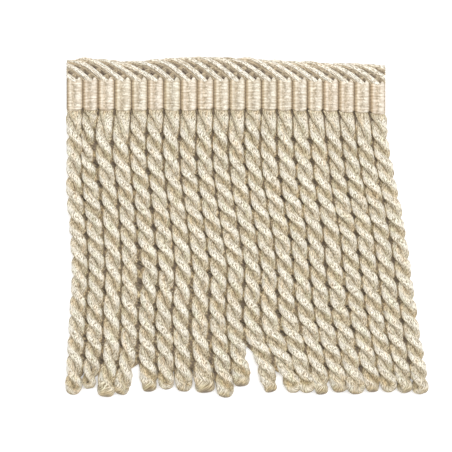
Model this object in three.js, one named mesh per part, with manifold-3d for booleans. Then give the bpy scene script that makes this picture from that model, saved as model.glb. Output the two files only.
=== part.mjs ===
// A length of bullion fringe trim lying flat, face up: a woven heading with raised ribs, the row of
// slanted yarn turns along its top edge, and a skirt of twisted strands that end in closed loops.
// Lengths are in millimetres and angles in radians. X runs along the trim, Y from the skirt towards
// the turns, and Z up from the flat back. The origin is the middle of the heading's back.
import * as THREE from 'three';
import Module from 'manifold-3d';

const wasm = await Module();
wasm.setup();

// The pieces lie this far apart.
const PIECE_GAP = 0.3;

// Woven heading, with one raised rib for each strand.
const HEADING_DEPTH = 11;
const RIB_THICKNESS = 4.5;
const VALLEY_THICKNESS = 3.1;
const EDGE_ROUND = 0.9;
const EDGE_THICKNESS_SHARE = 0.6;
const HEADING_STEPS_PER_RIB = 4;

// The heading's lowest band, parted from it, which holds the strands' roots.
const STRIP_DEPTH = 2.7;
const STRIP_STEPS_PER_RIB = 2;

// The trim sags towards the skirt over its right end.
const SAG_START = 20;
const SAG_REACH = 51;
const SAG_DEPTH = 2;

// Row of yarn turns: a flattened bar with slanted ridges, one for each rib.
const TURN_THICKNESS = 4.8;
const TURN_RIDGE = 0.1;
const TURN_STARTS = 5;
const TURN_STEPS_PER_RIB = 5;
const TURN_SIDES = 12;
const TURN_HEIGHTS = {
  along: [-71.4, -60, -39, -23, 7, 27, 49, 71.4],
  height: [8.3, 9.2, 8, 9.8, 9.2, 8, 7.6, 8.3],
};

// Strands: four sides, twisted as two plies are, with the wider diagonal through both plies.
const STRAND_WIDTH = 6.4;
const STRAND_NARROW = 5.4;
const TWIST_STEPS_PER_CROSSING = 4;
const SKIRT_DROP = 0.65;
const ROOT_OVERLAP = 1.2;
const ROOT_SHARE = 0.62;
const ROOT_FLARE = 2.5;
const TIP_ROUND = 2.6;
const TIP_SHARE = 0.5;

// One row for each strand, from the left. rib is its rib's width and length its reach below the
// depth datum. sway is its sideways shift from its rib at the depths of SWAY_DEPTHS. crossings are
// the depths of its first, seventh and thirteenth crossing of the two plies.
const SWAY_DEPTHS = [0, 17, 35, 53, 71, 89, 107, 124];
const STRANDS = [
  { rib: 7.2, length: 126.7, sway: [0, 0, 0, 1.5, 2.5, 1.5, 0.5, -0.5], crossings: [6.3, 59.9, 113.4] },
  { rib: 6.8, length: 124.4, sway: [0, -1, 0.5, 2, 3, 2, 1.5, -1], crossings: [3.2, 51.8, 98.6] },
  { rib: 7.4, length: 127.1, sway: [0, -1, 1.5, 2.5, 3.5, 2.5, 2.5, 0], crossings: [9, 66.2, 127.4] },
  { rib: 7.6, length: 126.7, sway: [0, -1, 1, 2.5, 3, 3, 2.5, -0.5], crossings: [9.5, 63.5, 119.3] },
  { rib: 7.2, length: 124.9, sway: [0, -0.5, 1, 2.5, 5, 3.5, 3.5, 4.5], crossings: [5.4, 56.3, 108] },
  { rib: 7.2, length: 124.4, sway: [0, -0.5, 1.5, 3.5, 5, 3.5, 4.5, 5], crossings: [5.4, 56.7, 111.6] },
  { rib: 7.6, length: 125.3, sway: [0, -0.5, 1, 3.5, 5, 4, 4.5, 5.5], crossings: [6.8, 63.9, 119.3] },
  { rib: 7.4, length: 124.7, sway: [0, -0.5, 1, 3.5, 5.5, 5, 5.5, 7.5], crossings: [7.7, 58.1, 116.1] },
  { rib: 7.4, length: 127.8, sway: [0, -0.5, 1, 3.5, 6, 5.5, 7, 9], crossings: [6.8, 60.3, 112.5] },
  { rib: 7, length: 122.4, sway: [0, -0.5, 1, 4, 6.5, 5.5, 7.5, 9.5], crossings: [5.9, 56.3, 106.7] },
  { rib: 7.2, length: 125.6, sway: [0, -0.5, 1.5, 4.5, 7, 6.5, 10.5, 15], crossings: [9.5, 63.9, 117.5] },
  { rib: 7.2, length: 125.6, sway: [0, -0.5, 1.5, 4.5, 7, 7, 11.5, 18], crossings: [3.6, 57.2, 113] },
  { rib: 7, length: 125.3, sway: [0, -0.5, 1.5, 5, 7, 8, 12.5, 17.5], crossings: [7.7, 60.3, 112.5] },
  { rib: 6.8, length: 126.5, sway: [0, 0.5, 2.5, 6, 7.5, 9.5, 13.5, 16.5], crossings: [7.7, 61.7, 118.4] },
  { rib: 6.8, length: 125.3, sway: [0, 1, 3.5, 6.5, 8, 10, 14, 18.5], crossings: [8.1, 63.9, 118.8] },
  { rib: 7, length: 125.6, sway: [0, 2, 4, 7, 8.5, 11, 15, 20.5], crossings: [8.1, 63.9, 120.2] },
  { rib: 7, length: 124.9, sway: [0, 2, 4, 7.5, 9.5, 12, 16, 19], crossings: [7.7, 58.5, 109.4] },
  { rib: 7, length: 124.7, sway: [0, 1.5, 4.5, 8, 10, 12.5, 16, 19.5], crossings: [7.2, 58.5, 112] },
  { rib: 7, length: 124.7, sway: [0, 1.5, 5, 8.5, 11, 13.5, 16.5, 19.5], crossings: [9.9, 61.2, 115.2] },
  { rib: 7, length: 124.7, sway: [0, 2, 5.5, 9, 11.5, 14, 17, 19.5], crossings: [6.3, 60.3, 114.3] },
];

const TRIM_LENGTH = STRANDS.reduce((sum, strand) => sum + strand.rib, 0);
const HEADING_TOP = HEADING_DEPTH / 2;
const HEADING_FOOT = -HEADING_DEPTH / 2;
const STRIP_TOP = HEADING_FOOT - PIECE_GAP;
const STRIP_FOOT = STRIP_TOP - STRIP_DEPTH;
const DEPTH_DATUM = STRIP_FOOT - SKIRT_DROP;

// The left edge of each rib, with the trim's right end last.
const RIB_EDGES = STRANDS.reduce(
  (edges, strand) => [...edges, edges.at(-1) + strand.rib],
  [-TRIM_LENGTH / 2],
);

// How far the trim sags at a place along it, growing with the square of the distance.
function sag(x) {
  return SAG_DEPTH * (Math.max(0, x - SAG_START) / SAG_REACH) ** 2;
}

// A smooth curve through values at rising places: a cubic between each two of them, whose slopes
// come from the neighbours on both sides. It goes on straight past both ends.
function smooth(places, values, at) {
  const last = places.length - 1;
  const slope = (i) => {
    const before = Math.max(i - 1, 0);
    const after = Math.min(i + 1, last);
    return (values[after] - values[before]) / (places[after] - places[before]);
  };
  if (at <= places[0]) return values[0] + slope(0) * (at - places[0]);
  if (at >= places[last]) return values[last] + slope(last) * (at - places[last]);
  const i = places.findIndex((place) => place > at) - 1;
  const span = places[i + 1] - places[i];
  const t = (at - places[i]) / span;
  const rise = values[i + 1] - values[i];
  const bend = t * (1 - t) * ((1 - t) * (slope(i) * span - rise) - t * (slope(i + 1) * span - rise));
  return values[i] + rise * t + bend;
}

// Closed geometry through rings of equal point count, with a fan over each end.
function loft(rings) {
  const sides = rings[0].length;
  const points = rings.flat();
  const faces = [];
  for (let ring = 0; ring < rings.length - 1; ring += 1) {
    for (let side = 0; side < sides; side += 1) {
      const a = ring * sides + side;
      const b = ring * sides + ((side + 1) % sides);
      faces.push(a, a + sides, b, b, a + sides, b + sides);
    }
  }
  const lastRing = (rings.length - 1) * sides;
  for (let side = 1; side < sides - 1; side += 1) {
    faces.push(0, side, side + 1);
    faces.push(lastRing, lastRing + side + 1, lastRing + side);
  }
  const geometry = new THREE.BufferGeometry();
  geometry.setAttribute('position', new THREE.Float32BufferAttribute(points.flatMap((p) => p.toArray()), 3));
  geometry.setIndex(faces);
  return geometry;
}

// Stations along the trim: the same number of steps in every rib, with how far each is through it.
function stations(stepsPerRib) {
  const list = STRANDS.flatMap((strand, rib) =>
    Array.from({ length: stepsPerRib }, (_, step) => ({
      rib,
      across: step / stepsPerRib,
      x: RIB_EDGES[rib] + (strand.rib * step) / stepsPerRib,
    })),
  );
  return [...list, { rib: STRANDS.length - 1, across: 1, x: RIB_EDGES.at(-1) }];
}

// A flat-backed band whose front is raised into ribs: each rib is an arch of half a sine wave.
function ribbedBand(top, foot, stepsPerRib) {
  const rings = stations(stepsPerRib).map(({ x, across }) => {
    const crown = VALLEY_THICKNESS + (RIB_THICKNESS - VALLEY_THICKNESS) * Math.sin(Math.PI * across);
    const edge = crown * EDGE_THICKNESS_SHARE;
    const outline = [
      [top, 0],
      [foot, 0],
      [foot, edge],
      [foot + EDGE_ROUND, crown],
      [top - EDGE_ROUND, crown],
      [top, edge],
    ];
    return outline.map(([y, z]) => new THREE.Vector3(x, y - sag(x), z));
  });
  return loft(rings);
}

// The bar of yarn turns. Its section is an ellipse with a flat underside. Ridges wind around it as
// a screw with several starts, so each climbs to the left across the front.
function turnRow() {
  const bottom = HEADING_TOP + PIECE_GAP;
  const halfThickness = TURN_THICKNESS / 2;
  const largest = 1 + TURN_RIDGE;
  const rings = stations(TURN_STEPS_PER_RIB).map(({ x, rib, across }) => {
    const halfHeight = smooth(TURN_HEIGHTS.along, TURN_HEIGHTS.height, x) / 2;
    return Array.from({ length: TURN_SIDES }, (_, side) => {
      const around = (2 * Math.PI * side) / TURN_SIDES;
      const winding = 2 * Math.PI * (rib + across) + TURN_STARTS * around;
      const radius = (1 + TURN_RIDGE * Math.cos(winding)) / largest;
      const y = bottom + halfHeight * (1 - radius * Math.cos(around));
      const z = halfThickness * (1 + radius * Math.sin(around)) - halfThickness * TURN_RIDGE;
      return new THREE.Vector3(x, y - sag(x), Math.max(z, 0));
    });
  });
  return loft(rings);
}

// Where each strand's middle lies along X at the depths of SWAY_DEPTHS. A strand that would touch
// the one on its left is moved to the right until it clears it.
function strandPlaces() {
  const places = [];
  STRANDS.forEach((strand, k) => {
    const root = RIB_EDGES[k] + strand.rib / 2;
    const left = places[k - 1];
    places.push(
      strand.sway.map((shift, level) => {
        const clear = left ? left[level] + STRAND_WIDTH + PIECE_GAP : -Infinity;
        return Math.max(root + shift, clear);
      }),
    );
  });
  return places;
}

// One strand: a diamond section that turns by half for each crossing of its plies, clockwise on
// the way down so that its ridges run from upper left to lower right on the front.
function strandGeometry(strand, places) {
  const crossingAt = (count) => smooth([0, 6, 12], strand.crossings, count);
  const ringAt = (depth, count, share) => {
    const x = smooth(SWAY_DEPTHS, places, depth);
    const lean = smooth(SWAY_DEPTHS, places, depth + 1) - x;
    const sideways = new THREE.Vector3(1, lean, 0).normalize();
    const upwards = new THREE.Vector3(0, 0, 1);
    const middle = new THREE.Vector3(x, DEPTH_DATUM - depth - sag(places[0]), (STRAND_WIDTH / 2) * share);
    return [0, 1, 2, 3].map((corner) => {
      const angle = -Math.PI * count - (corner * Math.PI) / 2;
      const radius = ((corner % 2 ? STRAND_NARROW : STRAND_WIDTH) / 2) * share;
      return middle
        .clone()
        .addScaledVector(sideways, radius * Math.cos(angle))
        .addScaledVector(upwards, radius * Math.sin(angle));
    });
  };
  const step = 1 / TWIST_STEPS_PER_CROSSING;
  const rings = [];
  let count = -2;
  while (crossingAt(count) < ROOT_FLARE) count += step;
  rings.push(ringAt(-SKIRT_DROP - ROOT_OVERLAP, count - step, ROOT_SHARE));
  while (crossingAt(count) < strand.length - TIP_ROUND) {
    rings.push(ringAt(crossingAt(count), count, 1));
    count += step;
  }
  rings.push(ringAt(strand.length, count, TIP_SHARE));
  return loft(rings);
}

function toSolid(geometry) {
  const vertProperties = new Float32Array(geometry.attributes.position.array);
  const triVerts = new Uint32Array(geometry.index.array);
  return new wasm.Manifold(new wasm.Mesh({ numProp: 3, vertProperties, triVerts }));
}

function toGeometry(solid) {
  const mesh = solid.getMesh();
  const geometry = new THREE.BufferGeometry();
  geometry.setAttribute('position', new THREE.BufferAttribute(mesh.vertProperties, 3));
  geometry.setIndex(new THREE.BufferAttribute(mesh.triVerts, 1));
  return geometry;
}

// The strip and its strands, joined where each strand's root runs up into the strip.
function skirtGeometry() {
  const places = strandPlaces();
  const strip = toSolid(ribbedBand(STRIP_TOP, STRIP_FOOT, STRIP_STEPS_PER_RIB));
  const joined = STRANDS.reduce(
    (solid, strand, k) => solid.add(toSolid(strandGeometry(strand, places[k]))),
    strip,
  );
  return toGeometry(joined);
}

function yarn(color) {
  return new THREE.MeshStandardMaterial({ color, roughness: 0.85, metalness: 0 });
}

function piece(name, geometry, color) {
  const mesh = new THREE.Mesh(geometry, yarn(color));
  mesh.name = name;
  return mesh;
}

const trim = new THREE.Group();
trim.add(piece('heading', ribbedBand(HEADING_TOP, HEADING_FOOT, HEADING_STEPS_PER_RIB), 0xe2cfa9));
trim.add(piece('yarn_turns', turnRow(), 0xe6d7bb));
trim.add(piece('skirt', skirtGeometry(), 0xdccbb0));

export default trim;
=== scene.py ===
"""Bullion fringe trim lying flat and face up on a pale floor, seen from straight above.

X runs along the trim, Y from the skirt towards the yarn turns and Z up from the flat back. The
tables and lengths are in millimetres, as a maker measures them, and become metres in the meshes.
Angles are in radians unless a name says degrees.
"""
from collections import namedtuple

import bmesh
import bpy
import numpy as np
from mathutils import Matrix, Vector


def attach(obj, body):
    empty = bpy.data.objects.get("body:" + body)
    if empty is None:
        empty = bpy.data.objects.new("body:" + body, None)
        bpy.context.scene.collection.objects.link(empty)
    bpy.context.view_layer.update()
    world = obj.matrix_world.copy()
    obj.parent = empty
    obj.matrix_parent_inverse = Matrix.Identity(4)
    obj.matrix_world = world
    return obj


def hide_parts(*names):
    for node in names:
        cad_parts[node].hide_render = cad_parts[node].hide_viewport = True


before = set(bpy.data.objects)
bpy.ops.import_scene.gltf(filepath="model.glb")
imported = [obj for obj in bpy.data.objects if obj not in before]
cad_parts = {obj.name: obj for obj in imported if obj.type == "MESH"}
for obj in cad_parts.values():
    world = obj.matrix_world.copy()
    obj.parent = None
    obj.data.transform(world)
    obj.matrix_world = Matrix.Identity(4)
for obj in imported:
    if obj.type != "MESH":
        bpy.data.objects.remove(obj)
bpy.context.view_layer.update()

MM = 0.001
UP = np.array([0.0, 0.0, 1.0])

# Seeds of the random draws. A yarn of the turns adds its own number to TURN_SEED, and a strand's
# seed is its place in the row.
TINT_SEED = 7
FOOT_SEED = 11
TURN_SEED = 100

# Ripples: most whole turns around a surface.
MOST_TURNS = 3

# Woven heading, and its lowest band, which holds the strands' roots.
HEADING_TOP = 5.5
HEADING_FOOT = -5.5
STRIP_TOP = -5.55
STRIP_FOOT = -8.9
RIB_THICKNESS = 4.6
VALLEY_THICKNESS = 2.7
RIB_SHARPNESS = 3.2
EDGE_ROUND = 0.8
EDGE_THICKNESS_SHARE = 0.72
THREAD_PITCH = 1.4
THREAD_HEIGHT = 0.13
VALLEY_THREAD_SHARE = 0.35
FOOT_SCALLOP = 1.2
FOOT_SHARPNESS = 2.5
FOOT_UNEVENNESS = 0.3
FOOT_SLANT = 0.5
RIB_COLUMNS = 20
THREAD_ROWS = 8
FEWEST_FRONT_ROWS = 24
BACK_ROWS = 9
BACK_TONE = 0.8

# Humps across a rib, as height, place and width. Places run from its left edge, 0, to its right, 1.
RIB_DIP = (0.3, 0.45, 0.13)
TOP_SCOOP = (1.1, 0.58, 0.09)
TOP_BUMP = (0.9, 0.8, 0.12)
COOL_MIDDLE = (1, 0.5, 0.17)
WARM_LEFT = (0.9, 0.2, 0.08)

# Painted shade across a rib, at places from its left edge to its right: darkest at the edges, in
# the grooves between ribs, a little darker along its dip, and paler on the right, where the light
# falls.
RIB_TONES = (
    (0, 0.05, 0.12, 0.22, 0.38, 0.6, 0.77, 0.88, 0.95, 1),
    (0, 0.34, 0.5, 0.9, 0.66, 0.8, 0.96, 0.94, 0.62, 0),
)

# The trim sags towards the skirt over its right end.
SAG_START = 20
SAG_REACH = 51
SAG_DEPTH = 2

# Yarn turns along the top edge: each runs up from a rib's left half and over to the left. The way
# round is 0 at the top edge in front, a quarter turn at the crest and a half turn behind.
TURN_HEIGHTS = ((-71.4, -60, -39, -23, 7, 27, 49, 71.4), (8.6, 9.5, 8.3, 10.1, 9.5, 8.3, 7.9, 8.6))
TURN_FOOT = 0.36
TURN_RUN = 16
TURN_FRONT = 1.25
TURN_MIDDLE = 2.35
TURN_START = -0.22
TURN_UNEVENNESS = 0.25
TURN_WANDER = 0.3
TURN_LOWERING = 0.9
TURN_SINK = 1.6
TURN_SINK_REACH = 2.2
TURN_SWELL = 0.06
TURN_SWELL_WAVES = (4, 4, 12)
TURN_FIBRE_SHIFT = 31
EXTRA_TURNS = 5
FLOOR_CLEARANCE = 0.02

# Painted shade of the turns: it lifts over the crest and behind it, and the side of a yarn that
# faces inwards is painted darker.
CREST_WAY = (0.85, 1.6)
CREST_SHARE = 0.55
BEHIND_WAY = (np.pi / 2, 0.8 * np.pi)
BEHIND_TONE = 0.85
INWARD_SHARE = 0.55
INWARD_COSINES = (-0.5, 0.6)

# The yarns' cut ends: how light their painted shade is at least, and how much shorter each is than
# the last.
CUT_TONE = 0.6
CUT_STEP = 0.01
FIRST_CUT_STEPS = 2

# The yarns of one turn: shift along the trim, half width, half thickness, rise, painted shade (the
# lower yarns darker, as shade in the wedge between turns, and laid lower too), and the rings and
# columns of the mesh.
TurnYarn = namedtuple("TurnYarn", "shift wide thick rise tone rings columns")
TURN_YARNS = (
    TurnYarn(0, 1.05, 1.05, 0.4, 1, 60, 18),
    TurnYarn(-2.1, 0.8, 0.9, -0.4, 0.42, 50, 12),
    TurnYarn(-3.5, 0.7, 0.8, -1.0, 0.16, 50, 10),
    TurnYarn(-4.75, 0.65, 0.75, -1.6, 0, 50, 10),
    TurnYarn(-5.9, 0.7, 0.7, -2.0, -0.2, 50, 10),
)

# The bar of inner turns, lower than the arches by CORE_DROP, with painted shade, darkest on its top
# face, which shows in the pits between the arches.
CORE_DROP = 2.4
CORE_SINK = 0.2
CORE_MIDDLE = 1.45
CORE_HALF_THICKNESS = 1.25
CORE_WAVE = 0.12
CORE_WAVE_LENGTH = 1.7
CORE_WAVE_SLANT = 2
CORE_TONE = 0.45
CORE_TONE_FALL = 0.4
CORE_RINGS = 160
CORE_COLUMNS = 24

# Twisted strands: two plies of oval section, wider along the strand's rim than across it.
DEPTH_DATUM = -9.15
PLY_OFFSET = 1.92
PLY_ACROSS = 1.62
PLY_ALONG_RIM = 2.5
PLY_SQUARENESS = 0.8
PLY_INNER_REACH = 0.35
INNER_DEGREES = (120, 180)
CREST = PLY_OFFSET + PLY_ACROSS
LOOP_DROP = 2.1
STRAND_RINGS = 240
LOOP_RINGS = 14
STRAND_COLUMNS = 30

# Half turns of the plies at two depths of the root and at a strand's three listed crossings.
ROOT_TURN_DEPTHS = (-4, 0)
HALF_TURNS = (-0.7, -0.5, 0, 6, 12)

# Unevenness of the strands. Each ripple has its number of waves, and their shortest and longest.
LOOSENESS = 0.035
LOOSE_WAVES = (5, 9, 40)
SWELL = 0.035
SWELL_WAVES = (6, 4, 17)
LUMPS = 0.06
TIP_LUMPS = 0.05
LUMP_WAVES = (12, 1.6, 6)

# Root: flattened, widened and tucked in under the heading.
ROOT_DEPTH = -1.5
ROOT_REACH = 7
ROOT_HEIGHT_SHARE = 0.6
ROOT_WIDEN = 0.35
ROOT_TUCK = 0.16
TUCK_DEPTHS = (-0.5, 1)

# Tip: it spreads from TIP_START to TIP_END above the strand's end, and lies a little flatter.
TIP_START = 14
TIP_END = 3
TIP_FATNESS = 1.08
TIP_FLATNESS = 0.16
TIP_FLAT_REACH = 9

# Where a strand meets its neighbours: widened into the gaps, with painted shade there. Spacings
# past TOGETHER_SPACINGS leave the strand as it is.
TOGETHER_SPACINGS = (9.2, 10.2)
OUTER_FILL = 0.3
STRAND_PARTING = 0.2
ROOT_PARTING = 0.2
ROOT_PARTING_DEPTHS = (0.5, 3.5)
OUTLINE_STRETCH = 1.04
LOW_HEIGHTS = (0.05, -0.2)
LEAST_LOW_REACH = 0.6
LOWER_OVERLAP = 0.9
DARK_RIM = 0.35
GAP_DARKNESS = 0.95
LIFT_REACH = 9
LIFT_SPREAD = 2

# Painted shade of a ply at degrees around it, from the strand's outside to its middle: darker
# towards the middle, where the plies shade each other, deeper in the groove between plies side by
# side, and in the loop darker at its bottom rim and its eye. The light crest is narrowed where the
# ply lies on top. One flank gets painted light, as if lit from that side; the outside gets a painted
# glow at the strand's rim and painted shade on the crest; the root gets painted shade; and the tip
# is darker.
PLY_TONES = ((0, 40, 60, 80, 105, 140, 180), (1.02, 1.02, 0.97, 0.82, 0.75, 0.74, 0.74))
GROOVE_TONES = ((0, 110, 140, 180), (0, 0, 0.04, 0.16))
LOOP_TONES = ((0, 40, 70, 105, 135, 160, 180), (0.12, 0.5, 0.95, 0.85, 0.45, 0.15, 0.05))
CREST_NARROWING = 0.5
FLANK_TONE = 0.12
FLANK_DEGREES = (70, 120)
EDGE_GLOW = 0.32
CREST_DIM = 0.12
OUTSIDE_DEGREES = (20, 75)
ROOT_DIM = 0.16
ROOT_DIM_DEPTHS = (0, 6)
TIP_DIM = 0.14
MOST_SHADE = 1.35

# Fibres of the strands: how they twist in a ply, how far apart two strands lie in the noise, so
# that they don't look alike, and how much finer the fibres look at root and tip.
FIBRE_TWIST = 1.3
FIBRE_SHIFT = 300
ROOT_FINENESS = 0.9
TIP_FINENESS = 0.3

# One row for each strand, from the left. rib is its rib's width and length its reach below the
# depth datum. sway is its sideways shift from its rib at SWAY_DEPTHS. crossings are the depths of
# its first, seventh and thirteenth crossing of the plies. tip widens or narrows its last stretch,
# and lift raises it over a neighbour at the depth lift_at.
SWAY_DEPTHS = (0, 17, 35, 53, 71, 89, 98, 107, 124)
Strand = namedtuple("Strand", "rib length sway crossings tip lift lift_at")
STRANDS = (
    Strand(7.2, 126.7, (0, 0.3, 0, 1.5, 2.5, 1.5, 1, 0.5, -0.5), (6.3, 59.9, 113.4), 1, 1.6, 16),
    Strand(6.8, 124.4, (0, -2.3, 0.4, 2, 3, 2, 2, 1.5, -1), (3.2, 51.8, 98.6), 0.74, 0, 0),
    Strand(7.4, 127.1, (0, -1, 1.5, 2.5, 3.5, 2.5, 2.5, 2.5, 0), (9, 66.2, 127.4), 1.3, 0, 0),
    Strand(7.6, 126.7, (0, -1, 1, 2.5, 3, 3, 3, 2.5, -0.5), (9.5, 63.5, 119.3), 1, 0, 0),
    Strand(7.2, 124.9, (0, -0.5, 1, 2.5, 5, 3.5, 3.5, 3.5, 4.5), (5.4, 56.3, 108), 1.2, 0, 0),
    Strand(7.2, 124.4, (0, -0.5, 1.5, 3.5, 5, 3.5, 4, 4.5, 5), (5.4, 56.7, 111.6), 1, 0, 0),
    Strand(7.6, 125.3, (0, -0.5, 1, 3.5, 5, 4, 4, 4.5, 5.5), (6.8, 63.9, 119.3), 1, 0, 0),
    Strand(7.4, 124.7, (0, -0.5, 1, 3.5, 5.5, 5, 5, 5.5, 7.5), (7.7, 58.1, 116.1), 1.55, 0, 0),
    Strand(7.4, 127.8, (0, -0.5, 1, 3.5, 6, 5.5, 6, 7, 9), (6.8, 60.3, 112.5), 1.1, 0, 0),
    Strand(7, 122.4, (0, -0.5, 1, 4, 6.5, 5.5, 6.2, 7.5, 9.5), (5.9, 56.3, 106.7), 1.25, 0, 0),
    Strand(7.2, 125.6, (0, -0.5, 1.5, 4.5, 7, 6.5, 7, 10.5, 15), (9.5, 63.9, 117.5), 1, 0, 0),
    Strand(7.2, 125.6, (0, -0.5, 1.5, 4.5, 7, 7, 8.3, 11.8, 18.7), (3.6, 57.2, 113), 1.15, 0, 0),
    Strand(7, 125.3, (0, -0.5, 1.5, 5, 7, 8, 10.2, 12.5, 17.5), (7.7, 60.3, 112.5), 1.3, 0, 0),
    Strand(6.8, 126.5, (0, 0.5, 2.5, 6, 7.5, 9.5, 11.5, 13.5, 16.5), (7.7, 61.7, 118.4), 1, 0, 0),
    Strand(6.8, 125.3, (0, 1, 3.5, 6.5, 8, 10, 12, 14, 18.5), (8.1, 63.9, 118.8), 1.22, 0, 0),
    Strand(7, 125.6, (0, 2, 4, 7, 8.5, 11, 13, 14.8, 18.4), (8.1, 63.9, 120.2), 1.15, 2.2, 122),
    Strand(7, 124.9, (0, 2, 4, 7.5, 9.5, 12, 14, 16, 19), (7.7, 58.5, 109.4), 1, 0, 0),
    Strand(7, 124.7, (0, 1.5, 4.5, 8, 10, 12.5, 14, 16, 19.5), (7.2, 58.5, 112), 1, 0, 0),
    Strand(7, 124.7, (0, 1.5, 5, 8.5, 11, 13.5, 15, 16.5, 19.5), (9.9, 61.2, 115.2), 1, 0, 0),
    Strand(7, 124.7, (0, 2, 5.5, 9, 11.5, 14, 15.5, 17, 19.5), (6.3, 60.3, 114.3), 1, 0, 0),
)
LAST_STRAND = len(STRANDS) - 1
RIBS = np.array([strand.rib for strand in STRANDS])
RIB_EDGES = np.concatenate([[0], np.cumsum(RIBS)]) - RIBS.sum() / 2
LEFT_END = RIB_EDGES[0]
RIGHT_END = RIB_EDGES[-1]
RIB_PITCH = RIBS.mean()

# Noise of the yarns: its fineness around a bundle and along it, for each millimetre, and which of
# its tones become 0 and 1. The fineness of dashes and fibres around is for each yarn.
YarnNoise = namedtuple("YarnNoise", "around along low high")
DASHES = YarnNoise(0.25, 0.8, 0.41, 0.59)
FIBRES = YarnNoise(0.42, 1.1, 0.4, 0.6)
WARMTH = YarnNoise(1.0, 0.09, 0.5, 0.75)
COOLNESS = YarnNoise(1.3, 0.16, 0.5, 0.72)
WANDER_FINENESS = 0.35
WANDER = 0.6

# Noise of the heading: its fineness along X, Y and Z for each metre, its detail, and which of its
# tones become 0 and 1.
THREAD_NOISE = ((300.0, 1400.0, 300.0), 2.0, 0.36, 0.64)
SPECK_NOISE = ((1250.0, 1200.0, 800.0), 2.0, 0.42, 0.58)
PATCH_NOISE = ((100.0, 40.0, 90.0), 1.0, 0.38, 0.62)

# Colours of the yarns, as red, green, blue and solidity. Flank and Groove, and the heading's
# flank, groove and thread gap colours, are painted shade: the tan and brown that painted shade
# tints the yarn towards.
TURN_COLORS = {
    "Light": (1.0, 0.95, 0.84, 1),
    "Dark": (0.4, 0.34, 0.25, 1),
    "Warm": (1.0, 0.93, 0.84, 1),
    "Cool": (0.92, 0.96, 0.97, 1),
    "Flank": (0.62, 0.55, 0.45, 1),
    "Groove": (0.15, 0.11, 0.08, 1),
}
STRAND_COLORS = {
    "Light": (0.96, 0.91, 0.79, 1),
    "Dark": (0.31, 0.255, 0.175, 1),
    "Warm": (1.0, 0.92, 0.83, 1),
    "Cool": (0.93, 0.96, 0.9, 1),
    "Flank": (0.745, 0.66, 0.495, 1),
    "Groove": (0.19, 0.145, 0.1, 1),
}
HEADING_COLORS = {
    "dark thread": (0.7, 0.62, 0.5, 1),
    "light thread": (1.0, 0.96, 0.85, 1),
    "pink": (0.99, 0.96, 0.96, 1),
    "green": (0.97, 0.98, 0.95, 1),
    "warm": (1.0, 0.95, 0.88, 1),
    "grey": (0.9, 0.92, 0.97, 1),
    "speck": (0.36, 0.31, 0.23, 1),
    "thread gap": (0.34, 0.27, 0.18, 1),
    "flank": (0.68, 0.59, 0.47, 1),
    "groove": (0.13, 0.095, 0.06, 1),
}
TURN_BUNDLE_YARNS = 7.0
PLY_BUNDLE_YARNS = 15.0
YARN_BUMP = 0.7
YARN_BUMP_DEPTH = 0.3
HEADING_BUMP = 0.6
HEADING_BUMP_DEPTH = 0.2

# Where the camera hangs: over the middle of the picture's frame, far enough for a long lens.
VIEW_WIDTH = 203.4
VIEW_MIDDLE_Y = -60.4
VIEW_LENS = 110
SENSOR = 36

# Lamps and floor, in metres and watts.
Lamp = namedtuple("Lamp", "name place size power")
LAMPS = (
    Lamp("overhead softbox", (0.16, 0.1, 0.95), 0.8, 10.5),
    Lamp("left fill", (-0.5, -0.1, 0.8), 0.6, 1.5),
)
WORLD_STRENGTH = 0.34
FLOOR_SIZE = 3
FLOOR_COLOR = (0.93, 0.93, 0.93, 1)
FLOOR_ROUGHNESS = 0.9
FLOOR_GLOW = 0.2
WHITE = (1, 1, 1, 1)


def sag(x):
    """Drop of the trim at a place along it: the square of the distance past where it starts."""
    return SAG_DEPTH * (np.maximum(0, x - SAG_START) / SAG_REACH) ** 2


def smooth(places, values, at):
    """Cubic between each two values whose slopes come from the neighbours, straight past the ends."""
    places = np.asarray(places, float)
    values = np.asarray(values, float)
    at = np.asarray(at, float)
    last = len(places) - 1
    after = np.minimum(np.arange(last + 1) + 1, last)
    before = np.maximum(np.arange(last + 1) - 1, 0)
    slope = (values[after] - values[before]) / (places[after] - places[before])
    i = np.clip(np.searchsorted(places, at, side="right") - 1, 0, last - 1)
    span = places[i + 1] - places[i]
    t = np.clip((at - places[i]) / span, 0, 1)
    rise = values[i + 1] - values[i]
    bend = t * (1 - t) * ((1 - t) * (slope[i] * span - rise) - t * (slope[i + 1] * span - rise))
    inside = values[i] + rise * t + bend
    left = slope[0] * np.minimum(at - places[0], 0)
    right = slope[last] * np.maximum(at - places[last], 0)
    return inside + left + right


def ease(start, end, at):
    """0 up to start and 1 from end on, with a smooth step between: three squares less two cubes.
    When end lies below start, the step goes the other way."""
    t = np.clip((at - start) / (end - start), 0, 1)
    return t * t * (3 - 2 * t)


def hump(shape, at):
    """A smooth hump: its height times e to the minus square of the distance over its width."""
    height, place, width = shape
    return height * np.exp(-(((at - place) / width) ** 2))


def unit(vectors):
    """The same directions, each with length one."""
    return vectors / np.linalg.norm(vectors, axis=-1, keepdims=True)


def ripple(rng, around, along, waves, shortest, longest):
    """Sum of sine waves over a surface: whole turns around it, and random lengths along it."""
    total = np.zeros(np.broadcast(around, along).shape)
    for _ in range(waves):
        turns = rng.integers(-MOST_TURNS, MOST_TURNS + 1)
        length = rng.uniform(shortest, longest)
        phase = rng.uniform(0, 2 * np.pi)
        total += np.sin(turns * around + 2 * np.pi * along / length + phase)
    return total / np.sqrt(waves)


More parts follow.
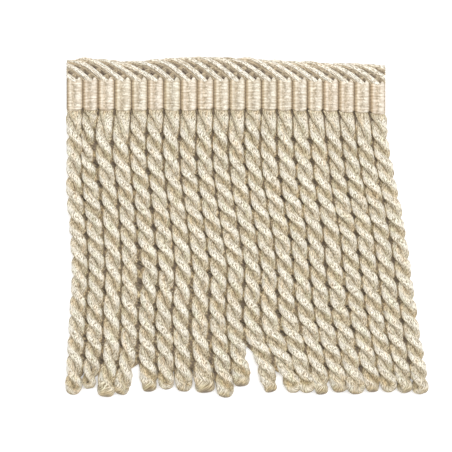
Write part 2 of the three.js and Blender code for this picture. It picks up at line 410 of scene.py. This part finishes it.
def carried(path, first, second, reach_first, reach_second, columns, power=1.0):
    """An oval profile carried along a path: path + first cos a + second sin a, each times its reach.
    A power below one of the cosine and sine makes the oval squarer. Returns the points and the
    angles."""
    angle = np.linspace(0, 2 * np.pi, columns, endpoint=False)[None, :]
    across = np.sign(np.cos(angle)) * np.abs(np.cos(angle)) ** power * reach_first
    over = np.sign(np.sin(angle)) * np.abs(np.sin(angle)) ** power * reach_second
    points = path[:, None, :] + across[..., None] * first[:, None, :]
    points = points + over[..., None] * second[:, None, :]
    return points, np.broadcast_to(angle, points.shape[:2])


def closed_tube(points, **attributes):
    """Faces over a grid whose columns close on themselves, with one flat face over each end."""
    rows, columns = points.shape[:2]
    vertex = np.arange(rows * columns).reshape(rows, columns)
    beside = np.roll(vertex, -1, axis=1)
    quads = np.stack([vertex[:-1], beside[:-1], beside[1:], vertex[1:]], axis=-1).reshape(-1, 4)
    ends = [vertex[0][::-1].tolist(), vertex[-1].tolist()]
    return {"points": points.reshape(-1, 3), "quads": quads, "ends": ends, "attributes": attributes}


def make_piece(name, shells, material):
    """One mesh object from closed shells, in metres, with their attributes on its points."""
    points = np.concatenate([shell["points"] for shell in shells])
    starts = np.cumsum([0] + [len(shell["points"]) for shell in shells])
    faces = []
    for start, shell in zip(starts, shells):
        faces += (shell["quads"] + start).tolist()
        faces += [[corner + int(start) for corner in end] for end in shell["ends"]]
    mesh = bpy.data.meshes.new(name)
    mesh.from_pydata((points * MM).tolist(), [], faces)
    for key in shells[0]["attributes"]:
        parts = [shell["attributes"][key].reshape(len(shell["points"]), -1) for shell in shells]
        values = np.concatenate(parts)
        kind = "FLOAT_VECTOR" if values.shape[1] == 3 else "FLOAT"
        layer = mesh.attributes.new(key, kind, "POINT")
        layer.data.foreach_set("vector" if kind == "FLOAT_VECTOR" else "value", values.ravel())
    mesh.shade_smooth()
    mesh.materials.append(material)
    piece = bpy.data.objects.new(name, mesh)
    bpy.context.collection.objects.link(piece)
    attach(piece, "root")
    return piece


def cut_to_length(piece):
    """Cuts the piece flush with both ends of the trim and closes the cuts. Each yarn ends a hair
    shorter than the one before it, so that no two cuts lie in one plane."""
    shape = bmesh.new()
    shape.from_mesh(piece.data)
    for end, outward in ((LEFT_END, -1), (RIGHT_END, 1)):
        everything = shape.verts[:] + shape.edges[:] + shape.faces[:]
        cut = bmesh.ops.bisect_plane(
            shape,
            geom=everything,
            plane_co=(end * MM, 0, 0),
            plane_no=(outward, 0, 0),
            clear_outer=True,
        )
        rim = [edge for edge in cut["geom_cut"] if isinstance(edge, bmesh.types.BMEdge)]
        caps = bmesh.ops.holes_fill(shape, edges=rim, sides=0)["faces"]
        shade = shape.verts.layers.float["shade"]
        for k, cap in enumerate(caps):
            cap.smooth = False
            for corner in cap.verts:
                corner[shade] = max(corner[shade], CUT_TONE)
                corner.co.x -= outward * CUT_STEP * (k + FIRST_CUT_STEPS) * MM
    shape.to_mesh(piece.data)
    shape.free()


def frayed_foot(rib, u):
    """How far the band's foot rises: a scallop, which is a power of the distance from a rib's
    middle, plus a random shift and slant for each rib."""
    shift, slant = np.random.default_rng(FOOT_SEED).uniform(-1, 1, (2, len(STRANDS)))
    scallop = FOOT_SCALLOP * np.abs(2 * u - 1) ** FOOT_SHARPNESS
    return scallop + FOOT_UNEVENNESS * shift[rib] + FOOT_SLANT * slant[rib] * (u - 0.5)


def woven_band(top, foot, round_top, round_foot):
    """The ribbed cloth of the heading. Over each rib its front is an arch with a shallow dip along
    its middle, crossed by rounded threads that lie half a pitch apart on alternate ribs; the back is
    flat. A rounded top edge has a scoop and a bump over each rib, and a rounded foot is frayed. The
    grid runs along the trim, and around the section from the back over the front. u is the place
    across a rib, from 0 to 1."""
    rib = np.repeat(np.arange(len(STRANDS)), RIB_COLUMNS)
    u = np.tile(np.linspace(0, 1, RIB_COLUMNS, endpoint=False), len(STRANDS))
    rib = np.append(rib, LAST_STRAND)[:, None]
    u = np.append(u, 1.0)[:, None]
    x = RIB_EDGES[rib] + RIBS[rib] * u
    arch = 1 - np.abs(2 * u - 1) ** RIB_SHARPNESS
    crown = VALLEY_THICKNESS + (RIB_THICKNESS - VALLEY_THICKNESS) * arch - hump(RIB_DIP, u)
    front_rows = max(FEWEST_FRONT_ROWS, int(round((top - foot) / THREAD_PITCH * THREAD_ROWS)))
    run = np.linspace(0, 1, front_rows)[None, :]

    foot = foot + (frayed_foot(rib, u) if round_foot else 0 * u)
    top = top - (hump(TOP_SCOOP, u) - hump(TOP_BUMP, u) if round_top else 0 * u)
    y_front = foot + (top - foot) * run
    from_top = np.clip((top - y_front) / EDGE_ROUND, 0, 1) if round_top else 1 + 0 * y_front
    from_foot = np.clip((y_front - foot) / EDGE_ROUND, 0, 1) if round_foot else 1 + 0 * y_front
    shoulder = np.sqrt(1 - (1 - np.minimum(from_top, from_foot)) ** 2)
    thread = np.abs(np.sin(np.pi * (y_front / THREAD_PITCH + 0.5 * (rib % 2))))
    thread_share = VALLEY_THREAD_SHARE + (1 - VALLEY_THREAD_SHARE) * arch
    z_front = crown * (EDGE_THICKNESS_SHARE + (1 - EDGE_THICKNESS_SHARE) * shoulder)
    z_front = z_front + THREAD_HEIGHT * thread * thread_share
    back = top + (foot - top) * np.linspace(0, 1, BACK_ROWS)[None, :]
    y = np.concatenate([back, y_front + 0 * x], axis=1)
    z = np.concatenate([0 * back, z_front], axis=1)
    points = np.stack([x + 0 * y, y - sag(x), z], axis=-1)

    # Painted shade across each rib, darkest in the grooves at its edges; the back has one flat tone.
    pale = smooth(*RIB_TONES, u) + 0 * z_front
    tint = np.random.default_rng(TINT_SEED).uniform(-1, 1, len(STRANDS))[rib]
    masks = {
        "shade": np.concatenate([0 * back + BACK_TONE, pale], axis=1),
        "cool": hump(COOL_MIDDLE, u) - hump(WARM_LEFT, u) + 0 * y,
        "thread": np.concatenate([0 * back + 1, thread], axis=1),
        "tint": tint + 0 * y,
    }
    return closed_tube(points[:, ::-1], **{key: mask[:, ::-1] for key, mask in masks.items()})


def turn_tube(start_x, yarn, seed):
    """One yarn of a turn. Along it, x falls evenly, y is the height times the sine of the way round
    and z the middle plus the front reach times its cosine, so it climbs the front and falls behind.
    Its foot dips into the heading. Its oval section swells and thins in ripples."""
    rng = np.random.default_rng(seed)
    way = np.linspace(TURN_START, np.pi, yarn.rings)
    x = start_x + yarn.shift - TURN_RUN * way / (np.pi / 2)
    height = smooth(*TURN_HEIGHTS, np.clip(x, LEFT_END, RIGHT_END)) - yarn.wide
    height = height + TURN_UNEVENNESS * rng.standard_normal() - TURN_LOWERING * (1 - yarn.tone)
    y = HEADING_TOP + height * np.sin(way) - sag(x)
    above_edge = y + sag(x) - HEADING_TOP
    sunk = TURN_SINK * (1 - ease(-TURN_SINK_REACH, 0, above_edge)) * (way < np.pi / 2)
    z = TURN_MIDDLE + (TURN_FRONT + yarn.rise) * np.cos(way) - sunk
    path = np.stack([x + TURN_WANDER * rng.standard_normal() * np.sin(way), y, z], axis=-1)
    along = unit(np.gradient(path, axis=0))
    side = unit(np.cross(along, np.stack([0 * x, np.sin(way), np.cos(way)], axis=-1)))
    outward = np.cross(side, along)
    steps = np.linalg.norm(np.diff(path, axis=0), axis=1)
    distance = np.concatenate([[0], np.cumsum(steps)])[:, None]
    swell = 1 + TURN_SWELL * ripple(rng, 0, distance, *TURN_SWELL_WAVES)
    points, angle = carried(path, outward, side, yarn.thick * swell, yarn.wide * swell, yarn.columns)
    points[..., 2] = np.maximum(points[..., 2], FLOOR_CLEARANCE)

    place = 0 * angle + distance + TURN_FIBRE_SHIFT * seed
    fibre = np.stack([np.cos(angle), np.sin(angle), place], axis=-1)
    # Painted shade: the lower yarns are painted darker, as the shade in the wedge between turns,
    # lifting over the crest and behind it; the side facing inwards is painted darker.
    over = np.maximum(ease(*BEHIND_WAY, way), CREST_SHARE * ease(*CREST_WAY, way))[:, None]
    pale = yarn.tone + (BEHIND_TONE - yarn.tone) * over
    facing_out = ease(*INWARD_COSINES, np.cos(angle))
    shade = pale * (INWARD_SHARE + (1 - INWARD_SHARE) * facing_out)
    return closed_tube(points, fibre=fibre, shade=shade)


def turn_core():
    """The inner turns behind the arches: a low flattened bar whose height follows theirs, with a
    slanted sine wave over it. It has painted shade, darkest on its top face, between the arches."""
    x = np.linspace(LEFT_END, RIGHT_END, CORE_RINGS)
    height = smooth(*TURN_HEIGHTS, x) - CORE_DROP
    y = HEADING_TOP + height / 2 - CORE_SINK - sag(x)
    path = np.stack([x, y, 0 * x + CORE_MIDDLE], axis=-1)
    forwards = np.tile([0.0, 1.0, 0.0], (len(x), 1))
    upwards = np.tile(UP, (len(x), 1))
    half_height = height[:, None] / 2
    points, angle = carried(path, forwards, upwards, half_height, CORE_HALF_THICKNESS, CORE_COLUMNS)
    wave = 2 * np.pi * points[..., 0] / CORE_WAVE_LENGTH + CORE_WAVE_SLANT * points[..., 1]
    points[..., 2] += CORE_WAVE * np.sin(wave)
    fibre = np.stack([np.cos(angle), np.sin(angle), 0 * angle + x[:, None]], axis=-1)
    return closed_tube(points, fibre=fibre, shade=CORE_TONE - CORE_TONE_FALL * np.sin(angle))


def strand_middles():
    """X of each strand's middle at SWAY_DEPTHS: its rib's middle plus its sway."""
    roots = (RIB_EDGES[:-1] + RIB_EDGES[1:]) / 2
    return roots[:, None] + np.array([strand.sway for strand in STRANDS])


# The rings of a strand's tube, each field a column with one value for each ring. swing is the way
# round the loop, turn the angle of the twist, rim_reach the plies' reach along the rim and lift the
# height over a neighbour.
Rings = namedtuple("Rings", "depth swing turn near_root near_tip rim_reach lift")


def strand_rings(strand):
    """The rings down one ply, round the loop and up the other. The twist makes half a turn for each
    crossing, and the lift is a hump."""
    last_depth = strand.length - LOOP_DROP - PLY_ACROSS
    down = np.linspace(ROOT_DEPTH, last_depth, STRAND_RINGS)
    bend = np.linspace(0, np.pi, LOOP_RINGS + 2)[1:-1]
    depth = np.concatenate([down, np.full(LOOP_RINGS, last_depth), down[::-1]])[:, None]
    swing = np.concatenate([np.zeros(STRAND_RINGS), bend, np.full(STRAND_RINGS, np.pi)])[:, None]
    near_root = 1 - ease(0, ROOT_REACH, depth)
    return Rings(
        depth=depth,
        swing=swing,
        turn=-np.pi * smooth(ROOT_TURN_DEPTHS + strand.crossings, HALF_TURNS, depth),
        near_root=near_root,
        near_tip=ease(strand.length - TIP_START, strand.length - TIP_END, depth),
        rim_reach=PLY_ALONG_RIM * (1 + ROOT_WIDEN * near_root),
        lift=hump((strand.lift, strand.lift_at, LIFT_REACH), depth),
    )


def ply_shade(rings, angle):
    """The painted shade and glow of a ply. The painted shade goes by the degrees around it, narrowed
    where it lies on top, and deepens in the groove between two plies side by side. One flank gets
    painted light, as if lit from that side; the outside gets a painted glow at the strand's rim and
    painted shade on its crest; and the loop has painted shades of its own. The root gets painted
    shade, and the tip is darker."""
    sideways = np.cos(rings.turn)
    on_top = np.sin(rings.turn)
    around = np.degrees(np.arccos(np.cos(angle)))
    narrowed = np.minimum(around * (1 + CREST_NARROWING * on_top**2), 180)
    shade = smooth(*PLY_TONES, narrowed) - smooth(*GROOVE_TONES, around) * sideways**4
    shade = shade + FLANK_TONE * np.sin(angle) * ease(*FLANK_DEGREES, around)
    outside = 1 - ease(*OUTSIDE_DEGREES, around)
    shade = shade + outside * (EDGE_GLOW * sideways**2 - CREST_DIM * on_top**4)
    shade = shade + (smooth(*LOOP_TONES, around) - shade) * np.sin(rings.swing)
    return shade - ROOT_DIM * (1 - ease(*ROOT_DIM_DEPTHS, rings.depth)) - TIP_DIM * rings.near_tip


def meet_neighbours(rings, index, middles, sideways, height):
    """How many times further from its axis each point of a strand lies, and how much painted shade it
    gets, where the strand meets its neighbours. Above the axis the outline is brought to half the
    spacing less a parting. Below it, the widest point is brought to half the spacing plus an overlap,
    so that no floor shows; the overlap, painted dark, stands in for the shade in the gap. What shows
    past the plies' own outline gets painted shade. The outer sides of the first and last strand keep
    their outline."""
    x = smooth(SWAY_DEPTHS, middles[index], rings.depth)
    to_left = np.abs(x - smooth(SWAY_DEPTHS, middles[max(index - 1, 0)], rings.depth))
    to_right = np.abs(smooth(SWAY_DEPTHS, middles[min(index + 1, LAST_STRAND)], rings.depth) - x)
    right_side = sideways > 0
    outer = np.where(right_side, index == LAST_STRAND, index == 0)
    spacing = np.where(right_side, to_right, to_left) + LIFT_SPREAD * rings.lift
    together = (1 - ease(*TOGETHER_SPACINGS, spacing)) * (1 - rings.near_tip)
    together = together * np.where(outer, OUTER_FILL, 1)
    parting = STRAND_PARTING + ROOT_PARTING * (1 - ease(*ROOT_PARTING_DEPTHS, rings.depth))
    outline = np.where(outer, CREST, np.minimum(spacing / 2 - parting, OUTLINE_STRETCH * CREST))
    upper = outline / CREST - 1

    low = ease(*LOW_HEIGHTS, height)
    low_right = np.maximum(sideways * low, 0).max(axis=1, keepdims=True)
    low_left = np.maximum(-sideways * low, 0).max(axis=1, keepdims=True)
    low_reach = np.maximum(np.where(right_side, low_right, low_left), LEAST_LOW_REACH)
    lower = np.maximum((spacing / 2 + LOWER_OVERLAP) / low_reach - 1, 0)
    fill = 1 + together * (upper + (lower - upper) * low)

    plies_reach = np.hypot(PLY_ACROSS * np.cos(rings.turn), rings.rim_reach * np.sin(rings.turn))
    plies_reach = plies_reach + PLY_OFFSET * np.abs(np.cos(rings.turn))
    past_outline = np.abs(sideways * fill) - plies_reach * outline / CREST
    return fill, GAP_DARKNESS * ease(-DARK_RIM, 0, past_outline) * together


def height_share(strand, depth):
    """The share of its height that a strand keeps: less at its root and tip, and a little less
    again where it is tucked in under the heading."""
    share = ROOT_HEIGHT_SHARE + (1 - ROOT_HEIGHT_SHARE) * ease(0, ROOT_REACH, depth)
    share = share - ROOT_TUCK * (1 - ease(*TUCK_DEPTHS, depth))
    return share * (1 - TIP_FLATNESS * ease(strand.length - TIP_FLAT_REACH, strand.length, depth))


def strand_shell(strand, middles, index):
    """Both plies of a strand as one tube. A ply's middle is the strand's middle plus the offset
    along a spoke that turns with the twist. In the loop the offset's cosine swings the tube over to
    the other side and its sine drops it. The section is an oval, longer along the rim and towards
    the strand's middle, with swellings and lumps that are sums of sines. Each side is then widened
    to meet its neighbour, and the heights are flattened at root and tip and lifted over a
    neighbour."""
    rng = np.random.default_rng(index)
    rings = strand_rings(strand)
    depth, swing, turn = rings.depth, rings.swing, rings.turn
    x = smooth(SWAY_DEPTHS, middles[index], depth)
    lean = smooth(SWAY_DEPTHS, middles[index], depth + 1) - x
    sideways = unit(np.hstack([np.ones_like(x), lean, 0 * x]))
    downward = np.cross(sideways, UP)
    spoke = np.cos(turn) * sideways + np.sin(turn) * UP
    rim = -np.sin(turn) * sideways + np.cos(turn) * UP
    middle = np.hstack([x, DEPTH_DATUM - depth - sag(middles[index][0]), 0 * x])

    loose = 1 + LOOSENESS * ripple(rng, 0, depth, *LOOSE_WAVES)
    offset = PLY_OFFSET * loose
    path = middle + offset * np.cos(swing) * spoke + LOOP_DROP * np.sin(swing) * downward
    outward = np.cos(swing) * spoke + np.sin(swing) * downward
    step = np.abs(np.diff(depth, axis=0, prepend=depth[:1]))
    travel = np.cumsum(step, axis=0) + LOOP_DROP * swing
    swell = 1 + SWELL * ripple(rng, 0, travel, *SWELL_WAVES)
    widen = 1 + (strand.tip * TIP_FATNESS - 1) * rings.near_tip
    degrees = 180 - np.abs(np.linspace(0, 360, STRAND_COLUMNS, endpoint=False) - 180)
    reach = PLY_ACROSS + PLY_INNER_REACH * ease(*INNER_DEGREES, degrees)[None, :]
    points, angle = carried(
        path,
        outward,
        rim,
        reach * loose * swell * widen,
        rings.rim_reach * widen * swell,
        STRAND_COLUMNS,
        PLY_SQUARENESS,
    )
    lumps = (LUMPS + TIP_LUMPS * rings.near_tip) * ripple(rng, angle, travel, *LUMP_WAVES)
    points = points + unit(points - path[:, None, :]) * lumps[..., None]

    from_axis = points - middle[:, None, :]
    fill, dark = meet_neighbours(rings, index, middles, from_axis[..., 0], from_axis[..., 2] / CREST)
    points[..., 0] += from_axis[..., 0] * (fill - 1)
    laid = (points[..., 2] + CREST) * height_share(strand, depth) + rings.lift
    points[..., 2] = np.maximum(laid, 0)

    twist = np.cumsum(np.abs(np.diff(turn, axis=0, prepend=turn[:1])), axis=0) + swing
    fibre_angle = angle - FIBRE_TWIST * twist
    fineness = 1 + ROOT_FINENESS * rings.near_root + TIP_FINENESS * rings.near_tip
    place = 0 * angle + travel + FIBRE_SHIFT * index
    fibre = np.stack([fineness * np.cos(fibre_angle), fineness * np.sin(fibre_angle), place], axis=-1)
    # The ply's painted shade, less the painted shade in the gaps between strands.
    shade = np.clip(ply_shade(rings, angle) - dark, 0, MOST_SHADE)
    return closed_tube(points, fibre=fibre, shade=shade)


NodeTools = namedtuple("NodeTools", "node math mix clamp total attribute spots")


def node_tools(tree):
    """Short helpers to place and join nodes in one tree."""

    def node(kind, inputs=None, **settings):
        made = tree.nodes.new(kind)
        for key, value in settings.items():
            setattr(made, key, value)
        for key, value in (inputs or {}).items():
            if isinstance(value, bpy.types.NodeSocket):
                tree.links.new(value, made.inputs[key])
            else:
                made.inputs[key].default_value = value
        return made

    def math(operation, a, b=0.0, c=0.0):
        return node("ShaderNodeMath", {0: a, 1: b, 2: c}, operation=operation).outputs[0]

    def mix(factor, a, b, blend="MIX"):
        made = node("ShaderNodeMix", {0: factor, 6: a, 7: b}, data_type="RGBA", blend_type=blend)
        return made.outputs[2]

    def clamp(value):
        return node("ShaderNodeClamp", {0: value}).outputs[0]

    def total(start, *parts):
        """Start plus each part, a value and its weight."""
        for value, weight in parts:
            start = math("MULTIPLY_ADD", value, weight, start)
        return start

    def attribute(name, output="Fac"):
        return node("ShaderNodeAttribute", attribute_name=name).outputs[output]

    def spots(place, detail, low, high):
        """Noise at a place, its tones from low to high spread between 0 and 1."""
        noise = node("ShaderNodeTexNoise", {"Vector": place, "Scale": 1.0, "Detail": detail}).outputs[0]
        tones = {"Value": noise, "From Min": low, "From Max": high}
        return node("ShaderNodeMapRange", tones, clamp=True).outputs[0]

    return NodeTools(node, math, mix, clamp, total, attribute, spots)


def new_group(name, inputs, outputs):
    """An empty node group with named sockets, each given as name to kind and starting value."""
    group = bpy.data.node_groups.new(name, "ShaderNodeTree")
    for label, (kind, value) in inputs.items():
        socket = group.interface.new_socket(label, in_out="INPUT", socket_type=kind)
        if value is not None:
            socket.default_value = value
    for label, kind in outputs.items():
        group.interface.new_socket(label, in_out="OUTPUT", socket_type=kind)
    return group


def new_material(name):
    """An empty material and its node tree."""
    material = bpy.data.materials.new(name)
    material.use_nodes = True
    material.node_tree.nodes.clear()
    return material, material.node_tree


def yarn_bundle_group():
    """Many thin yarns lying side by side. Place holds the cosine and sine of the angle around the
    bundle, measured along the yarns, and the way along them in millimetres. Each yarn is a round
    ridge, in relief and painted paler on its crown with painted shade between the yarns; its tone
    changes along it in short dashes, and stray fibres roughen it."""
    group = new_group(
        "yarn bundle",
        {
            "Place": ("NodeSocketVector", None),
            "Yarns": ("NodeSocketFloat", 12.0),
            "Light": ("NodeSocketColor", (0.8, 0.75, 0.65, 1)),
            "Dark": ("NodeSocketColor", (0.5, 0.4, 0.28, 1)),
            "Warm": ("NodeSocketColor", (1.0, 0.9, 0.8, 1)),
            "Cool": ("NodeSocketColor", (0.9, 0.95, 1.0, 1)),
        },
        {"Color": "NodeSocketColor", "Height": "NodeSocketFloat", "Roughness": "NodeSocketFloat"},
    )
    node, math, mix, clamp, total, _, spots = node_tools(group)
    given = node("NodeGroupInput").outputs
    cosine, sine, way = node("ShaderNodeSeparateXYZ", {0: given["Place"]}).outputs

    def yarn_spots(noise, around):
        """Noise on the bundle, as fine around it as given and stretched along it."""
        place = {
            0: math("MULTIPLY", cosine, around),
            1: math("MULTIPLY", sine, around),
            2: math("MULTIPLY", way, noise.along),
        }
        return spots(node("ShaderNodeCombineXYZ", place).outputs[0], 1.0, noise.low, noise.high)

    wander = node(
        "ShaderNodeTexNoise",
        {"W": math("MULTIPLY", way, WANDER_FINENESS), "Scale": 1.0, "Detail": 1.0},
        noise_dimensions="1D",
    ).outputs[0]
    angle = total(math("ARCTAN2", sine, cosine), (wander, WANDER))
    wave = math("COSINE", math("MULTIPLY", angle, given["Yarns"]))
    ridge = math("SQRT", total(0.5, (wave, 0.5)))
    dashes = yarn_spots(DASHES, math("MULTIPLY", given["Yarns"], DASHES.around))
    fibres = yarn_spots(FIBRES, math("MULTIPLY", given["Yarns"], FIBRES.around))
    warmth = yarn_spots(WARMTH, WARMTH.around)
    coolness = yarn_spots(COOLNESS, COOLNESS.around)

    # The ridge paints each yarn's crown paler and the shade between yarns darker.
    level = total(-0.35, (fibres, 0.85), (ridge, 0.4), (dashes, 0.45))
    base = mix(clamp(level), given["Dark"], given["Light"])
    warmed = mix(warmth, base, given["Warm"], "MULTIPLY")
    color = mix(coolness, warmed, given["Cool"], "MULTIPLY")
    height = total(0.0, (fibres, 0.2), (ridge, 0.5), (dashes, 0.4))
    roughness = total(0.62, (fibres, 0.2))
    node("NodeGroupOutput", {"Color": color, "Height": height, "Roughness": roughness})
    return group


def groove_group():
    """Tints a colour by Shade, as painted shade and painted glow: as it is at one, the flank's tan
    over it at a half and the groove's plain brown at nothing, painted shade where the neighbours shut
    out the light. Above one it fades to a painted glow, which stands in for light through thin yarn."""
    group = new_group(
        "groove tone",
        {
            "Color": ("NodeSocketColor", WHITE),
            "Shade": ("NodeSocketFloat", 1.0),
            "Flank": ("NodeSocketColor", (0.7, 0.62, 0.5, 1)),
            "Groove": ("NodeSocketColor", (0.25, 0.19, 0.12, 1)),
            "Glow": ("NodeSocketColor", (1, 0.95, 0.83, 1)),
        },
        {"Color": "NodeSocketColor"},
    )
    node, _, mix, clamp, total, _, _ = node_tools(group)
    given = node("NodeGroupInput").outputs
    flank = clamp(total(2.0, (given["Shade"], -2.0)))
    groove = clamp(total(1.0, (given["Shade"], -2.0)))
    glow = clamp(total(-2.0, (given["Shade"], 2.0)))
    tinted = mix(flank, given["Color"], given["Flank"], "MULTIPLY")
    lit = mix(glow, tinted, given["Glow"])
    node("NodeGroupOutput", {"Color": mix(groove, lit, given["Groove"])})
    return group


def cloth_shader(node, color, roughness, normal):
    """The yarns' shader: no hard gloss, and a faint sheen at grazing angles."""
    shader = node(
        "ShaderNodeBsdfPrincipled",
        {"Base Color": color, "Roughness": roughness, "Normal": normal},
    )
    shader.inputs["Specular IOR Level"].default_value = 0.3
    shader.inputs["Sheen Weight"].default_value = 0.1
    shader.inputs["Sheen Roughness"].default_value = 0.45
    node("ShaderNodeOutputMaterial", {"Surface": shader.outputs[0]})


def yarn_material(name, groups, yarns, colors):
    """Soft matt yarn with a little sheen, for the pieces that carry fibre and shade attributes."""
    material, tree = new_material(name)
    tools = node_tools(tree)
    bundle = tools.node("ShaderNodeGroup", node_tree=groups["yarn bundle"])
    tree.links.new(tools.attribute("fibre", "Vector"), bundle.inputs["Place"])
    bundle.inputs["Yarns"].default_value = yarns
    tone = tools.node("ShaderNodeGroup", node_tree=groups["groove tone"])
    tree.links.new(bundle.outputs["Color"], tone.inputs["Color"])
    tree.links.new(tools.attribute("shade"), tone.inputs["Shade"])
    for label, value in colors.items():
        holder = bundle if label in bundle.inputs else tone
        holder.inputs[label].default_value = value
    relief = tools.node(
        "ShaderNodeBump",
        {"Height": bundle.outputs["Height"], "Strength": YARN_BUMP, "Distance": YARN_BUMP_DEPTH * MM},
    )
    roughness = bundle.outputs["Roughness"]
    cloth_shader(tools.node, tone.outputs["Color"], roughness, relief.outputs[0])
    return material


def heading_material(groups):
    """Rep weave: each rib has painted shade, tan then brown towards its edges and a little darker along
    its dip, and is painted paler on its right, where the light falls. It is greyer and speckled along
    its dip, with painted shade in the gaps between the threads, deeper towards the rib's edges, and
    uneven thread tones that run across the ribs. Some ribs are a little pinker and some a little
    greener."""
    material, tree = new_material("heading weave")
    node, math, mix, clamp, total, attribute, spots = node_tools(tree)
    place = node("ShaderNodeTexCoord").outputs["Object"]

    def cloth_spots(scale, detail, low, high):
        """Noise on the cloth, stretched by scale."""
        stretched = node("ShaderNodeMapping", {0: place, 3: scale}).outputs[0]
        return spots(stretched, detail, low, high)

    threads = cloth_spots(*THREAD_NOISE)
    specks = cloth_spots(*SPECK_NOISE)
    patches = cloth_spots(*PATCH_NOISE)
    cool = attribute("cool")
    shade = attribute("shade")
    gap = attribute("thread")
    tint = attribute("tint")
    colors = HEADING_COLORS
    plain = mix(threads, colors["dark thread"], colors["light thread"])
    blushed = mix(clamp(tint), plain, colors["pink"], "MULTIPLY")
    base = mix(clamp(math("MULTIPLY", tint, -1.0)), blushed, colors["green"], "MULTIPLY")
    warmed = mix(clamp(math("MULTIPLY", cool, -1.0)), base, colors["warm"], "MULTIPLY")
    cool = clamp(cool)
    greyed = mix(math("MULTIPLY", cool, patches), warmed, colors["grey"], "MULTIPLY")
    between_specks = math("SUBTRACT", 1.0, specks)
    speckled = mix(math("MULTIPLY", between_specks, total(0.24, (cool, 0.5))), greyed, colors["speck"])
    # Painted shade in the gaps between the threads, deeper where the rib's painted shade is deeper.
    between_threads = math("SUBTRACT", 1.0, gap)
    lines = math("MULTIPLY", between_threads, total(0.66, (shade, -0.4)))
    groove = node("ShaderNodeGroup", node_tree=groups["groove tone"])
    tree.links.new(mix(lines, speckled, colors["thread gap"]), groove.inputs["Color"])
    tree.links.new(shade, groove.inputs["Shade"])
    groove.inputs["Flank"].default_value = colors["flank"]
    groove.inputs["Groove"].default_value = colors["groove"]
    height = total(0.0, (specks, 0.4), (threads, 0.6))
    relief = node(
        "ShaderNodeBump",
        {"Height": height, "Strength": HEADING_BUMP, "Distance": HEADING_BUMP_DEPTH * MM},
    )
    cloth_shader(node, groove.outputs["Color"], total(0.65, (threads, 0.2)), relief.outputs[0])
    return material


def floor_material():
    """Plain matt white floor, with a faint glow that softens the shadow along the trim's edges."""
    material = bpy.data.materials.new("pale floor")
    material.use_nodes = True
    shader = material.node_tree.nodes["Principled BSDF"]
    shader.inputs["Base Color"].default_value = FLOOR_COLOR
    shader.inputs["Roughness"].default_value = FLOOR_ROUGHNESS
    shader.inputs["Emission Color"].default_value = WHITE
    shader.inputs["Emission Strength"].default_value = FLOOR_GLOW
    return material


def build_heading(groups):
    """The heading and its strip, in one weave. The strip is part of the heading's flat sheet."""
    weave = heading_material(groups)
    heading = make_piece("heading_cloth", [woven_band(HEADING_TOP, HEADING_FOOT, True, False)], weave)
    strip = make_piece("strip_cloth", [woven_band(STRIP_TOP, STRIP_FOOT, False, True)], weave)
    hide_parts("heading")
    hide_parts("skirt")


def build_turns(groups):
    """The row of turns: one turn from each rib, and more from past the right end, cut off there."""
    material = yarn_material("turn yarn", groups, TURN_BUNDLE_YARNS, TURN_COLORS)
    starts = RIB_EDGES[:-1] + TURN_FOOT * RIBS
    starts = np.concatenate([starts, starts[-1] + RIB_PITCH * np.arange(1, EXTRA_TURNS + 1)])
    shells = [turn_core()]
    for k, start in enumerate(starts):
        first_seed = TURN_SEED + len(TURN_YARNS) * k
        shells += [turn_tube(start, yarn, first_seed + j) for j, yarn in enumerate(TURN_YARNS)]
    turns = make_piece("yarn_turn_row", shells, material)
    cut_to_length(turns)
    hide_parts("yarn_turns")


def build_skirt(groups):
    """The strands, one piece each."""
    material = yarn_material("strand yarn", groups, PLY_BUNDLE_YARNS, STRAND_COLORS)
    middles = strand_middles()
    for k, strand in enumerate(STRANDS):
        piece = make_piece(f"strand_{k + 1:02d}", [strand_shell(strand, middles, k)], material)
        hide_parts("skirt")


def direction_to_euler(aim):
    """Turn that points an object's own minus Z along aim."""
    return Vector(aim).to_track_quat("-Z", "Y").to_euler()


def build_stage():
    """The floor, an even white world and the lamps, aimed at the middle of the view."""
    bpy.ops.mesh.primitive_plane_add(size=FLOOR_SIZE)
    floor = bpy.context.object
    floor.name = "floor"
    floor.data.materials.append(floor_material())

    world = bpy.data.worlds.new("studio")
    bpy.context.scene.world = world
    world.use_nodes = True
    world.node_tree.nodes["Background"].inputs["Color"].default_value = WHITE
    world.node_tree.nodes["Background"].inputs["Strength"].default_value = WORLD_STRENGTH

    for lamp in LAMPS:
        light = bpy.data.lights.new(lamp.name, "AREA")
        light.size = lamp.size
        light.energy = lamp.power
        hanging = bpy.data.objects.new(lamp.name, light)
        hanging.location = lamp.place
        aim = np.array([0, VIEW_MIDDLE_Y * MM, 0]) - np.array(lamp.place)
        hanging.rotation_euler = direction_to_euler(aim)
        bpy.context.collection.objects.link(hanging)


def build_camera():
    """A long lens straight above the middle of the view."""
    camera = bpy.data.cameras.new("camera")
    camera.lens = VIEW_LENS
    camera.sensor_width = SENSOR
    hanging = bpy.data.objects.new("camera", camera)
    hanging.location = (0, VIEW_MIDDLE_Y * MM, VIEW_WIDTH * MM * VIEW_LENS / SENSOR)
    bpy.context.collection.objects.link(hanging)
    bpy.context.scene.camera = hanging


bpy.context.scene.view_settings.view_transform = "Standard"
build_camera()
GROUPS = {"yarn bundle": yarn_bundle_group(), "groove tone": groove_group()}
build_heading(GROUPS)
build_turns(GROUPS)
build_skirt(GROUPS)
build_stage()
